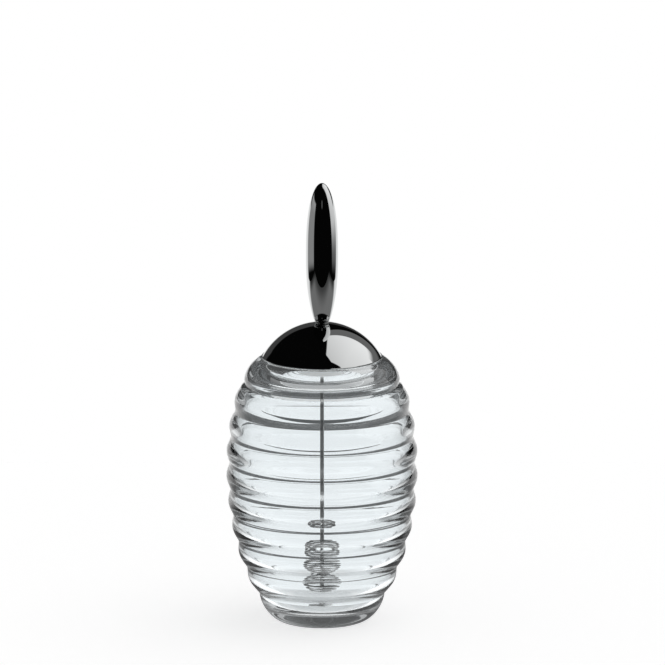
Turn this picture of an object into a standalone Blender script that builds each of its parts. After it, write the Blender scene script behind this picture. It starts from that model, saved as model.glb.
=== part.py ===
"""Honey pot: a ribbed glass jar under a domed steel lid, with a spindle handle above the lid and a
wire dipper hanging below it on a straight rod.

Metres, +Z up. The origin is the middle of the jar's foot, on the surface that it stands on.
"""

import math

import bmesh
import bpy
import numpy as np
from mathutils import Matrix

# Gaps between pieces
seat_gap = 0.0003
merge_distance = seat_gap / 100

# Jar, outside
jar_height = 0.1201
belly_radius = 0.0430
belly_height = 0.0705
crest_drop_at_base = 0.0133
crest_drop_at_shoulder = 0.0058
base_band_height = 0.01267
shoulder_band_height = 0.01228
groove_count = 9
groove_depth = 0.00155
groove_sharpness = 0.5
top_groove_depth = 0.0004
shoulder_radius = 0.0348
shoulder_drop = 0.00934
shoulder_power_outside = 1.54
flat_top_radius = 0.02689
foot_radius = 0.0180
heel_power = 1.7
punt_radius = 0.0145
punt_depth = 0.0008

# Jar, inside: the wall and its wave get thinner up the jar, and the wall thicker again under the shoulder
wall_below = 0.0033
wall_above = 0.0024
inner_wave_below = 0.0020
inner_wave_above = 0.0008
inner_wave_rise = 0.00124
inner_wave_sharpness = 0.12
change_above_belly = 0.0075
change_reach = 0.025
shoulder_extra_wall = 0.00116
shoulder_extra_reach = 0.02344
wave_below_rim = 0.01056
floor_height = 0.0072
floor_corner = 0.0060
shoulder_power_inside = 3.46
mouth_radius = 0.02324
mouth_depth = 0.00768
mouth_corner = 0.00125
rim_round = 0.00171

# Lid dome and the ring under it
lid_radius = 0.0270
dome_rise = 0.0158
dome_wall = 0.0010
rim_roll = 0.0006
ring_clearance = 0.00085
ring_wall = 0.0008
ring_reach = 0.00652
ring_flange = 0.0017

# Handle and the collar under it
handle_length = 0.0618
handle_radius = 0.0072
handle_foot_radius = 0.00385
handle_waist_length = 0.0290
handle_foot_round = 0.0003
handle_point_power = 2.5
handle_taper_power = 2.5
collar_radius = 0.0033
collar_length = 0.0013
collar_round = 0.0003

# Clamp of stud, washer and nut
stud_radius = 0.0020
stud_in_handle = 0.0120
stud_below_nut = 0.0012
stud_chamfer = 0.0004
washer_radius = 0.0045
washer_thickness = 0.0008
nut_across_flats = 0.0070
nut_height = 0.0030

# Dipper
rod_radius = 0.0009
rod_in_stud = 0.0060
rod_chamfer = 0.0002
tip_radius = 0.0016
tip_length = 0.0015
tip_above_floor = 0.0009
tip_bore_depth = 0.0007
coil_radius = 0.00775
coil_end_share = 0.5
coil_pitch = 0.0032
coil_turns = 8
coil_lead_degrees = 80
points_per_turn = 24

# Facets
jar_sides = 36
lid_sides = 36
handle_sides = 40
small_sides = 20
nut_sides = 24
rib_segments = 4
arc_segments = 5
shoulder_segments = 6
round_segments = 3
bend_segments = 5
dome_outer_segments = 9
dome_inner_segments = 7
handle_point_segments = 10
handle_taper_segments = 6

# Heights and radii that follow from the sizes above
top_groove_height = jar_height - shoulder_band_height
rib_pitch = (top_groove_height - base_band_height) / (groove_count - 1)
change_height = belly_height + change_above_belly
wave_top = jar_height - wave_below_rim
thicker_from = wave_top - shoulder_extra_reach
rim_height = jar_height + seat_gap
dome_radius = (lid_radius ** 2 + dome_rise ** 2) / (2 * dome_rise)
dome_centre = rim_height + dome_rise - dome_radius
crown_bore = stud_radius + seat_gap
collar_foot = rim_height + dome_rise + seat_gap
handle_foot = collar_foot + collar_length + seat_gap
handle_top = handle_foot + handle_length
stud_top = handle_foot + stud_in_handle
tip_foot = floor_height + tip_above_floor
coil_foot = tip_foot + tip_length + seat_gap + rod_radius
coil_top = coil_foot + coil_pitch * coil_turns


def arc(centre, half_width, half_height, start, end, segments):
    """Points of an elliptical arc in (radius, height), with its angles in degrees from +radius."""
    points = []
    for step in range(segments + 1):
        angle = math.radians(start + (end - start) * step / segments)
        points.append((centre[0] + half_width * math.cos(angle), centre[1] + half_height * math.sin(angle)))
    return points


def material(name, colour, roughness, metallic=0.0, transmission=0.0, ior=1.5):
    """A Principled material in one finish."""
    made = bpy.data.materials.new(name)
    made.use_nodes = True
    shader = made.node_tree.nodes["Principled BSDF"]
    shader.inputs["Base Color"].default_value = (*colour, 1.0)
    shader.inputs["Roughness"].default_value = roughness
    shader.inputs["Metallic"].default_value = metallic
    shader.inputs["Transmission Weight"].default_value = transmission
    shader.inputs["IOR"].default_value = ior
    made.diffuse_color = (*colour, 1.0)
    return made


def finished_object(name, mesh, finish):
    """Puts a mesh into the scene as one named piece, shaded smooth between its sharp edges."""
    mesh.materials.append(finish)
    mesh.shade_smooth()
    mesh.set_sharp_from_angle(angle=math.radians(40))
    piece = bpy.data.objects.new(name, mesh)
    bpy.context.collection.objects.link(piece)
    return piece


def turned(name, outline, sides, finish, closed):
    """Turns an outline of (radius, height) points about +Z.

    A closed outline makes a ring. An open one starts and ends on the axis and makes a solid."""
    bm = bmesh.new()
    verts = [bm.verts.new((radius, 0, height)) for radius, height in outline]
    pairs = list(zip(verts, verts[1:]))
    if closed:
        pairs.append((verts[-1], verts[0]))
    edges = [bm.edges.new(pair) for pair in pairs]
    bmesh.ops.spin(bm, geom=verts + edges, cent=(0, 0, 0), axis=(0, 0, 1), angle=2 * math.pi,
                   steps=sides, use_merge=True)
    bmesh.ops.remove_doubles(bm, verts=bm.verts, dist=merge_distance)
    bmesh.ops.recalc_face_normals(bm, faces=bm.faces)
    mesh = bpy.data.meshes.new(name)
    bm.to_mesh(mesh)
    bm.free()
    return finished_object(name, mesh, finish)


def squared_arc(centre, half_width, half_height, power, segments):
    """Points of a quarter of a squared ellipse, from its top down and out to its side."""
    points = []
    for step in range(segments + 1):
        angle = math.pi / 2 * (1 - step / segments)
        points.append((centre[0] + half_width * max(math.cos(angle), 0.0) ** (2 / power),
                       centre[1] + half_height * math.sin(angle) ** (2 / power)))
    return points


def crest_radius(height):
    """Radius of the smooth belly that touches the crest of every rib: half an ellipse each way."""
    if height > belly_height:
        drop, edge = crest_drop_at_shoulder, top_groove_height
    else:
        drop, edge = crest_drop_at_base, base_band_height
    edge_share = 1 - drop / belly_radius
    reach = (edge - belly_height) / math.sqrt(1 - edge_share ** 2)
    return belly_radius * math.sqrt(1 - ((height - belly_height) / reach) ** 2)


def rib_swell(turn):
    """0 in a groove and 1 on a crest, as turn goes from one groove to the next."""
    soft = 0.5 - 0.5 * math.cos(2 * math.pi * turn)
    sharp = 1 - (2 * turn - 1) ** 2
    return (1 - groove_sharpness) * soft + groove_sharpness * sharp


def outer_radius(height):
    turn = (height - base_band_height) / rib_pitch
    return crest_radius(height) - groove_depth * (1 - rib_swell(turn % 1))


def up_the_wall(height, below, above):
    """A size that changes smoothly from its value low in the jar to its value high in the jar."""
    share = (height - change_height + change_reach) / (2 * change_reach)
    share = min(max(share, 0.0), 1.0)
    return below + (above - below) * share * share * (3 - 2 * share)


def inner_radius(height):
    """The blown inside follows the ribs as a soft wave, which lies a little higher than they do."""
    share = min(max((height - thicker_from) / (wave_top - thicker_from), 0.0), 1.0)
    thicker = shoulder_extra_wall * share * share * (3 - 2 * share)
    turn = (height - base_band_height - inner_wave_rise) / rib_pitch
    fall = (1 - inner_wave_sharpness) * (0.5 + 0.5 * math.cos(2 * math.pi * turn))
    fall += inner_wave_sharpness * (2 * (turn % 1) - 1) ** 2
    return (crest_radius(height) - up_the_wall(height, wall_below, wall_above) - thicker
            - up_the_wall(height, inner_wave_below, inner_wave_above) * fall)


def make_glass_jar(finish):
    """One blown body: floor, rippled inside, mouth, shoulder, ribs, heel and a shallow punt."""
    rib_rows = (groove_count - 1) * rib_segments
    rib_step = rib_pitch / rib_segments
    rib_heights = [base_band_height + rib_step * row for row in range(rib_rows + 1)]

    corner_top = floor_height + floor_corner
    corner_radius = inner_radius(corner_top)
    outline = [(0, floor_height)]
    outline += arc((corner_radius - floor_corner, corner_top), floor_corner, floor_corner, -90, 0, arc_segments)

    lowest, highest = corner_top + rib_step / 2, wave_top - rib_step / 2
    wave_heights = [height + inner_wave_rise for height in rib_heights]
    outline += [(inner_radius(height), height) for height in wave_heights if lowest < height < highest]

    # inside of the shoulder, the upright bore of the mouth and its rim
    shoulder_inside = (inner_radius(wave_top), wave_top)
    mouth_foot = jar_height - mouth_depth
    under_shoulder = squared_arc((mouth_radius + mouth_corner, shoulder_inside[1]),
                                 shoulder_inside[0] - mouth_radius - mouth_corner,
                                 mouth_foot - shoulder_inside[1], shoulder_power_inside, shoulder_segments)
    outline += reversed(under_shoulder)
    outline += arc((mouth_radius + mouth_corner, mouth_foot + mouth_corner), mouth_corner, mouth_corner,
                   -90, -180, round_segments)[1:]
    outline += arc((mouth_radius + rim_round, jar_height - rim_round), rim_round, rim_round,
                   180, 90, round_segments)

    # outside of the shoulder, from the flat top down to its groove, then the ribs
    widest = jar_height - shoulder_drop
    outline += squared_arc((flat_top_radius, widest), shoulder_radius - flat_top_radius, shoulder_drop,
                           shoulder_power_outside, shoulder_segments)
    outline.append((shoulder_radius - top_groove_depth, top_groove_height))
    outline += [(outer_radius(height), height) for height in reversed(rib_heights[:-1])]

    # heel, foot ring and punt
    heel_width = outer_radius(base_band_height) - foot_radius
    heel = [(foot_radius + heel_width * math.cos(math.pi / 2 * step / arc_segments) ** (2 / heel_power),
             base_band_height * (1 - math.sin(math.pi / 2 * step / arc_segments) ** (2 / heel_power)))
            for step in range(1, arc_segments)]
    outline += heel + [(foot_radius, 0)]
    outline += [(punt_radius, 0), (punt_radius / 2, punt_depth / 2), (0, punt_depth)]
    return turned("glass_jar", outline, jar_sides, finish, closed=False)


def dome_height(radius, depth):
    """Height of the spherical dome at a radius, a given depth under its outer skin."""
    return dome_centre + math.sqrt((dome_radius - depth) ** 2 - radius ** 2)


def make_lid_dome(finish):
    """A pressed cap of even wall, with a rolled rim and a bore at its crown for the stud."""
    inner_rim = lid_radius - dome_wall
    outer_step = (lid_radius - crown_bore) / dome_outer_segments
    inner_step = (inner_rim - dome_wall - crown_bore) / dome_inner_segments
    outer_radii = [crown_bore + outer_step * step for step in range(dome_outer_segments)]
    inner_radii = [crown_bore + inner_step * step for step in range(dome_inner_segments + 1)]
    outline = [(radius, dome_height(radius, 0)) for radius in outer_radii]
    outline += [(lid_radius, rim_height + rim_roll), (lid_radius - rim_roll / 2, rim_height), (inner_rim, rim_height)]
    outline += [(radius, dome_height(radius, dome_wall)) for radius in reversed(inner_radii)]
    return turned("lid_dome", outline, lid_sides, finish, closed=True)


def make_locating_ring(finish):
    """A plastic ring pressed into the dome by its flange, with a skirt that drops into the mouth."""
    outer = mouth_radius - ring_clearance
    inner = outer - ring_wall
    under_dome = dome_wall + seat_gap
    outline = [
        (outer, rim_height - ring_reach),
        (outer, dome_height(outer, under_dome + ring_wall)),
        (outer + ring_flange, dome_height(outer + ring_flange, under_dome + ring_wall)),
        (outer + ring_flange, dome_height(outer + ring_flange, under_dome)),
        (inner, dome_height(inner, under_dome)),
        (inner, rim_height - ring_reach),
    ]
    return turned("locating_ring", outline, lid_sides, finish, closed=True)


def make_neck_collar(finish):
    """A short barrel between the crown of the dome and the foot of the handle."""
    outline = [(crown_bore, collar_foot + collar_length)]
    top = (collar_radius - collar_round, collar_foot + collar_length - collar_round)
    foot = (collar_radius - collar_round, collar_foot + collar_round)
    outline += arc(top, collar_round, collar_round, 90, 0, round_segments)
    outline += arc(foot, collar_round, collar_round, 0, -90, round_segments)
    outline.append((crown_bore, collar_foot))
    return turned("neck_collar", outline, small_sides, finish, closed=True)


def handle_outline():
    """A spindle: a blunt point above its widest ring and a long taper to its foot below it."""
    belly = handle_foot + handle_waist_length
    above = handle_top - belly
    taper = handle_waist_length - handle_foot_round
    points = []
    for step in range(handle_point_segments + 1):
        rise = math.sin(math.pi / 2 * (1 - step / handle_point_segments))
        points.append((handle_radius * math.sqrt(1 - rise ** handle_point_power), belly + above * rise))
    for step in range(1, handle_taper_segments + 1):
        fall = step / handle_taper_segments
        swell = (handle_radius - handle_foot_radius) * (1 - fall ** handle_taper_power)
        points.append((handle_foot_radius + swell, belly - taper * fall))
    points.append((handle_foot_radius - handle_foot_round, handle_foot))
    return points


def make_handle(finish):
    """A solid steel spindle with a blind bore in its foot for the stud."""
    bore_top = stud_top + seat_gap
    outline = handle_outline() + [(crown_bore, handle_foot), (crown_bore, bore_top), (0, bore_top)]
    return turned("handle", outline, handle_sides, finish, closed=False)


def crown_underside(radius):
    """Height of the flat face of a clamp piece that seats under the curved crown."""
    return dome_height(radius, dome_wall) - seat_gap


def make_clamp(stud_finish, nut_finish):
    """Stud, washer and nut: they pull the handle, collar and dome together from below."""
    washer_top = crown_underside(washer_radius)
    washer_foot = washer_top - washer_thickness
    nut_top = washer_foot - seat_gap
    nut_foot = nut_top - nut_height
    stud_foot = nut_foot - stud_below_nut
    rod_bore = rod_radius + seat_gap

    washer = [(crown_bore, washer_top), (washer_radius, washer_top), (washer_radius, washer_foot),
              (crown_bore, washer_foot)]
    turned("clamp_washer", washer, small_sides, nut_finish, closed=True)

    stud = [(0, stud_top), (stud_radius - stud_chamfer, stud_top), (stud_radius, stud_top - stud_chamfer),
            (stud_radius, stud_foot), (rod_bore, stud_foot),
            (rod_bore, stud_foot + rod_in_stud + seat_gap), (0, stud_foot + rod_in_stud + seat_gap)]
    turned("clamp_stud", stud, small_sides, stud_finish, closed=False)
    make_nut(nut_foot, nut_top, nut_finish)
    return stud_foot


def make_nut(foot, top, finish):
    """A hexagon round a plain bore, with the same number of points on both so that faces are quads."""
    bm = bmesh.new()
    rings = []
    for height in (foot, top):
        flats = []
        bore = []
        for step in range(nut_sides):
            angle = 2 * math.pi * step / nut_sides
            from_flat = (angle + math.pi / 6) % (math.pi / 3) - math.pi / 6
            reach = nut_across_flats / 2 / math.cos(from_flat)
            flats.append(bm.verts.new((reach * math.cos(angle), reach * math.sin(angle), height)))
            bore.append(bm.verts.new((crown_bore * math.cos(angle), crown_bore * math.sin(angle), height)))
        rings += [flats, bore]
    low_flats, low_bore, high_flats, high_bore = rings
    for first, second in ((low_flats, high_flats), (high_flats, high_bore), (high_bore, low_bore),
                          (low_bore, low_flats)):
        for step in range(nut_sides):
            after = (step + 1) % nut_sides
            bm.faces.new((first[step], first[after], second[after], second[step]))
    bmesh.ops.recalc_face_normals(bm, faces=bm.faces)
    mesh = bpy.data.meshes.new("clamp_nut")
    bm.to_mesh(mesh)
    bm.free()
    return finished_object("clamp_nut", mesh, finish)


def make_rod(stud_foot, finish):
    """The dipper's straight rod, from its bore in the stud down into the tip."""
    top = stud_foot + rod_in_stud
    foot = tip_foot + tip_length - tip_bore_depth
    outline = [(0, top), (rod_radius - rod_chamfer, top), (rod_radius, top - rod_chamfer),
               (rod_radius, foot), (0, foot)]
    return turned("dipper_rod", outline, small_sides, finish, closed=False)


def make_tip(finish):
    """A small round-ended foot on the rod, under the last turn of the coil."""
    bore = rod_radius + seat_gap
    top = tip_foot + tip_length
    bore_foot = top - tip_bore_depth - seat_gap
    outline = [(0, bore_foot), (bore, bore_foot), (bore, top), (tip_radius, top)]
    outline += arc((0, tip_foot + tip_length / 2), tip_radius, tip_length / 2, 0, -90, arc_segments)
    return turned("rod_tip", outline, small_sides, finish, closed=False)


def bend(start, start_way, end, end_way, pull, segments):
    """Points of a cubic bend between two straight runs, without its first point."""
    before = start + start_way * pull
    after = end - end_way * pull
    points = []
    for step in range(1, segments + 1):
        t = step / segments
        points.append(start * (1 - t) ** 3 + before * 3 * t * (1 - t) ** 2 + after * 3 * t ** 2 * (1 - t)
                      + end * t ** 3)
    return points


def coil_turn_radius(share):
    """The turns lie on a ball: widest half way down, and coil_end_share of that at both ends."""
    flattening = math.sqrt(1 - coil_end_share ** 2)
    return coil_radius * math.sqrt(1 - (flattening * (2 * share - 1)) ** 2)


def coil_route():
    """The wire's middle line: out from the rod, round the turns and in to the rod again."""
    total = coil_turns * points_per_turn
    turns = []
    for step in range(total + 1):
        share = step / total
        angle = 2 * math.pi * step / points_per_turn
        radius = coil_turn_radius(share)
        turns.append(np.array((radius * math.cos(angle), radius * math.sin(angle),
                               coil_top - (coil_top - coil_foot) * share)))
    # each end turns inwards and runs straight at the rod's face for one wire diameter
    run = 2 * rod_radius
    face = rod_radius + seat_gap
    lead_in = math.radians(coil_lead_degrees)
    pull = coil_radius * coil_end_share / 2
    first_out = np.array((math.cos(lead_in), -math.sin(lead_in), 0))
    along = np.array((0, 1, 0))
    height = np.array((0, 0, 1))
    top_start = first_out * face + height * coil_top
    top_turned = first_out * (face + run) + height * coil_top
    head = [top_start, (top_start + top_turned) / 2, top_turned]
    head += bend(top_turned, first_out, turns[0], along, pull, bend_segments)[:-1]
    last_out = np.array((math.cos(lead_in), math.sin(lead_in), 0))
    foot_turned = last_out * (face + run) + height * coil_foot
    foot_end = last_out * face + height * coil_foot
    tail = bend(turns[-1], along, foot_turned, -last_out, pull, bend_segments)
    tail += [(foot_turned + foot_end) / 2, foot_end]
    return head + turns + tail


def least_gap(route, diameter):
    """The least clear distance between two stretches of the wire more than a third of a turn apart."""
    points = np.array(route)
    apart = points_per_turn // 3
    least = math.inf
    for index in range(len(points) - apart):
        reach = np.linalg.norm(points[index + apart:] - points[index], axis=1)
        least = min(least, float(reach.min()))
    return least - diameter


def make_coil(finish):
    """The dipper's open ball, wound from one wire of the rod's own diameter."""
    route = coil_route()
    curve = bpy.data.curves.new("dipper_coil", "CURVE")
    curve.dimensions = "3D"
    curve.bevel_depth = rod_radius
    curve.bevel_resolution = 1
    curve.use_fill_caps = True
    line = curve.splines.new("POLY")
    line.points.add(len(route) - 1)
    for point, place in zip(line.points, route):
        point.co = (*place, 1.0)
    curve.materials.append(finish)
    line.use_smooth = True
    piece = bpy.data.objects.new("dipper_coil", curve)
    bpy.context.collection.objects.link(piece)
    print("dipper_coil least gap to itself, mm:", round(least_gap(route, 2 * rod_radius) * 1000, 2))
    return piece


def main():
    for old in list(bpy.data.objects):
        bpy.data.objects.remove(old, do_unlink=True)

    glass = material("clear_glass", (0.93, 0.97, 0.96), 0.02, transmission=1.0, ior=1.52)
    mirror = material("mirror_steel", (0.62, 0.63, 0.63), 0.05, metallic=1.0)
    dark = material("dark_mirror_steel", (0.42, 0.43, 0.43), 0.06, metallic=1.0)
    plain = material("plain_steel", (0.55, 0.55, 0.54), 0.25, metallic=1.0)
    milky = material("milky_plastic", (0.88, 0.88, 0.88), 0.35)

    make_glass_jar(glass)

    # an empty on the lid's lift axis carries everything that comes away with the lid
    lift = bpy.data.objects.new("lid_lift", None)
    lift.location = (0, 0, rim_height)
    bpy.context.collection.objects.link(lift)
    make_lid_dome(mirror)
    make_locating_ring(milky)
    make_neck_collar(dark)
    make_handle(mirror)
    stud_foot = make_clamp(plain, plain)
    make_rod(stud_foot, mirror)
    make_tip(mirror)
    make_coil(mirror)
    for piece in bpy.data.objects:
        if piece.name not in ("glass_jar", "lid_lift"):
            piece.parent = lift
            piece.matrix_parent_inverse = Matrix.Translation(-lift.location)


main()
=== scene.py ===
import math

import bmesh
import bpy
import numpy as np
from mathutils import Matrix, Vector


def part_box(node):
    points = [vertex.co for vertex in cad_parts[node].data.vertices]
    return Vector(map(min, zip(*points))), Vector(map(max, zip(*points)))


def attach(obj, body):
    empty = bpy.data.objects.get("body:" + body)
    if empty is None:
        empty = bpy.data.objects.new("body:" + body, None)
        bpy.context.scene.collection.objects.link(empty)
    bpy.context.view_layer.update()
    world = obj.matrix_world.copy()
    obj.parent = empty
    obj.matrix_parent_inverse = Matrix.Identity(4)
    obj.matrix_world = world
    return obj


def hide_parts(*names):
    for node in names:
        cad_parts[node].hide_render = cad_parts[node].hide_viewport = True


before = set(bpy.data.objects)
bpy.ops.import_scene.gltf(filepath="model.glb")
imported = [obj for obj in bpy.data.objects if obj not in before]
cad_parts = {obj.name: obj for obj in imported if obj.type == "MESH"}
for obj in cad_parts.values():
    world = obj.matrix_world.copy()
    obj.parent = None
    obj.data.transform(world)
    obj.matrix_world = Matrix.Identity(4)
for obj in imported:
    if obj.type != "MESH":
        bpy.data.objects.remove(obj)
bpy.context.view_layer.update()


# Glass jar
# One blown body of clear glass with a thick floor. The ribs were pressed into its outside by the mould,
# and the inside follows them as a soft wave. The rim is fire polished.
jar_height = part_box("glass_jar")[1].z
belly_radius = 0.04299
belly_height = 0.0705
crest_drop_at_base = 0.0133
crest_drop_at_shoulder = 0.0058
base_band_height = 0.01267
shoulder_band_height = 0.01228
groove_count = 9
groove_depth = 0.00155
foot_radius = 0.0180
heel_power = 1.7
punt_radius = 0.0145
punt_depth = 0.0008
groove_sharpness = 0.5
wall_below = 0.0033
wall_above = 0.0024
inner_wave_below = 0.0020
inner_wave_above = 0.0008
inner_wave_rise = 0.00124
inner_wave_sharpness = 0.12
change_height = 0.078
change_reach = 0.025
floor_height = 0.0072
floor_corner = 0.0060
mouth_radius = 0.02324
mouth_depth = 0.00768
mouth_corner = 0.00125
rim_round = 0.00171
flat_top_radius = 0.02689
shoulder_radius = 0.03480
shoulder_drop = 0.00934
top_groove_depth = 0.00040
notch_step_share = 0.6
notch_step_rise = 0.00025
shoulder_power_inside = 3.46
shoulder_power_outside = 1.54
shoulder_extra_wall = 0.00116
thicker_from = 0.0861
wave_top = 0.10954
jar_sides = 192
points_per_rib = 20
floor_points = 6
floor_corner_steps = 24
shoulder_steps_inside = 44
mouth_corner_steps = 12
rim_steps = 14
shoulder_steps_outside = 48
heel_steps = 28
punt_steps = 24
glass_ior = 1.51

top_groove_height = jar_height - shoulder_band_height
rib_pitch = (top_groove_height - base_band_height) / (groove_count - 1)


def add_socket(tree, name, kind, way="INPUT"):
    return tree.interface.new_socket(name, in_out=way, socket_type="NodeSocket" + kind)


def feed(tree, socket, value):
    """Links a socket to another, or sets it where the value is a plain one."""
    if isinstance(value, bpy.types.NodeSocket):
        tree.links.new(value, socket)
    else:
        socket.default_value = value


def calc(tree, operation, *values):
    """One math node, with its output."""
    node = tree.nodes.new("ShaderNodeMath")
    node.operation = operation
    for socket, value in zip(node.inputs, values):
        feed(tree, socket, value)
    return node.outputs[0]


def lathe_tree():
    """Turns points in (x, z) about +Z, and first presses ribs into them as deep as each point says."""
    tree = bpy.data.node_groups.new("ribbed_lathe", "GeometryNodeTree")
    add_socket(tree, "Outline", "Geometry")
    add_socket(tree, "Sides", "Int")
    add_socket(tree, "First Groove", "Float")
    add_socket(tree, "Rib Pitch", "Float")
    add_socket(tree, "Groove Sharpness", "Float")
    add_socket(tree, "Wave Rise", "Float")
    add_socket(tree, "Wave Sharpness", "Float")
    add_socket(tree, "Finish", "Material")
    add_socket(tree, "Turned Piece", "Geometry", "OUTPUT")
    given = tree.nodes.new("NodeGroupInput").outputs
    place = tree.nodes.new("GeometryNodeInputPosition").outputs[0]
    apart = tree.nodes.new("ShaderNodeSeparateXYZ")
    tree.links.new(place, apart.inputs[0])
    across, height = apart.outputs["X"], apart.outputs["Z"]

    depths = []
    for name in ("groove", "wave"):
        read = tree.nodes.new("GeometryNodeInputNamedAttribute")
        read.data_type = "FLOAT"
        read.inputs["Name"].default_value = name
        depths.append(read.outputs["Attribute"])
    turn = calc(tree, "DIVIDE", calc(tree, "SUBTRACT", height, given["First Groove"]), given["Rib Pitch"])
    rise = calc(tree, "DIVIDE", given["Wave Rise"], given["Rib Pitch"])
    pressed = 0.0
    shifted = calc(tree, "SUBTRACT", turn, rise)
    for depth, place_in_rib, sharp in ((depths[0], turn, given["Groove Sharpness"]),
                                       (depths[1], shifted, given["Wave Sharpness"])):
        saw = calc(tree, "MULTIPLY_ADD", calc(tree, "FRACT", place_in_rib), 2.0, -1.0)
        bowed = calc(tree, "POWER", calc(tree, "ABSOLUTE", saw), 2.0)
        circle = calc(tree, "MULTIPLY", place_in_rib, 2 * math.pi)
        soft = calc(tree, "MULTIPLY_ADD", calc(tree, "COSINE", circle), 0.5, 0.5)
        fall = calc(tree, "ADD", calc(tree, "MULTIPLY", bowed, sharp),
                    calc(tree, "MULTIPLY", soft, calc(tree, "SUBTRACT", 1.0, sharp)))
        pressed = calc(tree, "MULTIPLY_ADD", depth, fall, pressed)
    moved = tree.nodes.new("ShaderNodeCombineXYZ")
    tree.links.new(calc(tree, "SUBTRACT", across, pressed), moved.inputs["X"])
    tree.links.new(height, moved.inputs["Z"])
    ribbed = tree.nodes.new("GeometryNodeSetPosition")
    tree.links.new(given["Outline"], ribbed.inputs["Geometry"])
    tree.links.new(moved.outputs[0], ribbed.inputs["Position"])

    size = tree.nodes.new("GeometryNodeAttributeDomainSize")
    tree.links.new(ribbed.outputs[0], size.inputs[0])
    rows = size.outputs["Point Count"]
    grid = tree.nodes.new("GeometryNodeMeshGrid")
    tree.links.new(calc(tree, "ADD", given["Sides"], 1.0), grid.inputs["Vertices X"])
    tree.links.new(rows, grid.inputs["Vertices Y"])
    index = tree.nodes.new("GeometryNodeInputIndex").outputs[0]
    column = calc(tree, "FLOOR", calc(tree, "DIVIDE", calc(tree, "ADD", index, 0.5), rows))
    row = calc(tree, "SUBTRACT", index, calc(tree, "MULTIPLY", column, rows))
    pick = tree.nodes.new("GeometryNodeSampleIndex")
    pick.data_type = "FLOAT_VECTOR"
    tree.links.new(ribbed.outputs[0], pick.inputs["Geometry"])
    tree.links.new(place, pick.inputs["Value"])
    tree.links.new(calc(tree, "ROUND", row), pick.inputs["Index"])
    picked = tree.nodes.new("ShaderNodeSeparateXYZ")
    tree.links.new(pick.outputs[0], picked.inputs[0])
    angle = calc(tree, "MULTIPLY", calc(tree, "DIVIDE", column, given["Sides"]), 2 * math.pi)
    turned_place = tree.nodes.new("ShaderNodeCombineXYZ")
    for axis, part in (("X", "COSINE"), ("Y", "SINE")):
        reach = calc(tree, "MULTIPLY", picked.outputs["X"], calc(tree, part, angle))
        tree.links.new(reach, turned_place.inputs[axis])
    tree.links.new(picked.outputs["Z"], turned_place.inputs["Z"])
    put = tree.nodes.new("GeometryNodeSetPosition")
    tree.links.new(grid.outputs["Mesh"], put.inputs["Geometry"])
    tree.links.new(turned_place.outputs[0], put.inputs["Position"])
    smooth = tree.nodes.new("GeometryNodeSetShadeSmooth")
    tree.links.new(put.outputs[0], smooth.inputs["Geometry"])
    real = tree.nodes.new("GeometryNodeRealizeInstances")
    tree.links.new(smooth.outputs[0], real.inputs[0])
    finish = tree.nodes.new("GeometryNodeSetMaterial")
    tree.links.new(real.outputs[0], finish.inputs["Geometry"])
    tree.links.new(given["Finish"], finish.inputs["Material"])
    tree.links.new(finish.outputs[0], tree.nodes.new("NodeGroupOutput").inputs[0])
    return tree


def plain_mesh(piece, name, sharp_degrees):
    """The evaluated piece as a plain closed mesh that faces outwards, with its modifier gone."""
    bpy.context.view_layer.update()
    evaluated = piece.evaluated_get(bpy.context.evaluated_depsgraph_get())
    mesh = bpy.data.meshes.new_from_object(evaluated)
    mesh.name = name
    piece.modifiers.clear()
    if piece.type == "MESH":
        piece.data = mesh
    else:
        bpy.data.objects.remove(piece)
        piece = bpy.data.objects.new(name, mesh)
        bpy.context.scene.collection.objects.link(piece)
    bm = bmesh.new()
    bm.from_mesh(mesh)
    bmesh.ops.remove_doubles(bm, verts=bm.verts, dist=1e-7)
    bmesh.ops.dissolve_degenerate(bm, edges=bm.edges, dist=1e-8)
    bmesh.ops.recalc_face_normals(bm, faces=bm.faces)
    bm.to_mesh(mesh)
    bm.free()
    mesh.shade_smooth()
    mesh.set_sharp_from_angle(angle=math.radians(sharp_degrees))
    return piece


def set_input(modifier, tree, name, value):
    """Sets a modifier's input by its socket's identifier."""
    for item in tree.interface.items_tree:
        if item.item_type == "SOCKET" and item.in_out == "INPUT" and item.name == name:
            modifier[item.identifier] = value


lathe = lathe_tree()


def turned_piece(name, outline, finish, sides, sharp_degrees=40, ribs=None):
    """Turns an outline of (radius, height, groove depth, wave depth) points about the axis."""
    mesh = bpy.data.meshes.new(name)
    points = [(point[0], 0, point[1]) for point in outline]
    mesh.from_pydata(points, [(i, i + 1) for i in range(len(points) - 1)], [])
    for slot, attribute in ((2, "groove"), (3, "wave")):
        made = mesh.attributes.new(attribute, "FLOAT", "POINT")
        made.data.foreach_set("value", [point[slot] if len(point) > 2 else 0.0 for point in outline])
    piece = bpy.data.objects.new(name, mesh)
    bpy.context.scene.collection.objects.link(piece)
    modifier = piece.modifiers.new("lathe", "NODES")
    modifier.node_group = lathe
    inputs = {"Sides": sides, "First Groove": 0.0, "Rib Pitch": 1.0, "Groove Sharpness": 0.0,
              "Wave Rise": 0.0, "Wave Sharpness": 0.0, "Finish": finish}
    inputs.update(ribs or {})
    for key, value in inputs.items():
        set_input(modifier, lathe, key, value)
    return plain_mesh(piece, name, sharp_degrees)


def arc(centre, half_width, half_height, start, end, segments):
    """Points of an elliptical arc in (radius, height), with its angles in degrees from +radius."""
    points = []
    for step in range(segments + 1):
        angle = math.radians(start + (end - start) * step / segments)
        points.append((centre[0] + half_width * math.cos(angle), centre[1] + half_height * math.sin(angle)))
    return points


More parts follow.
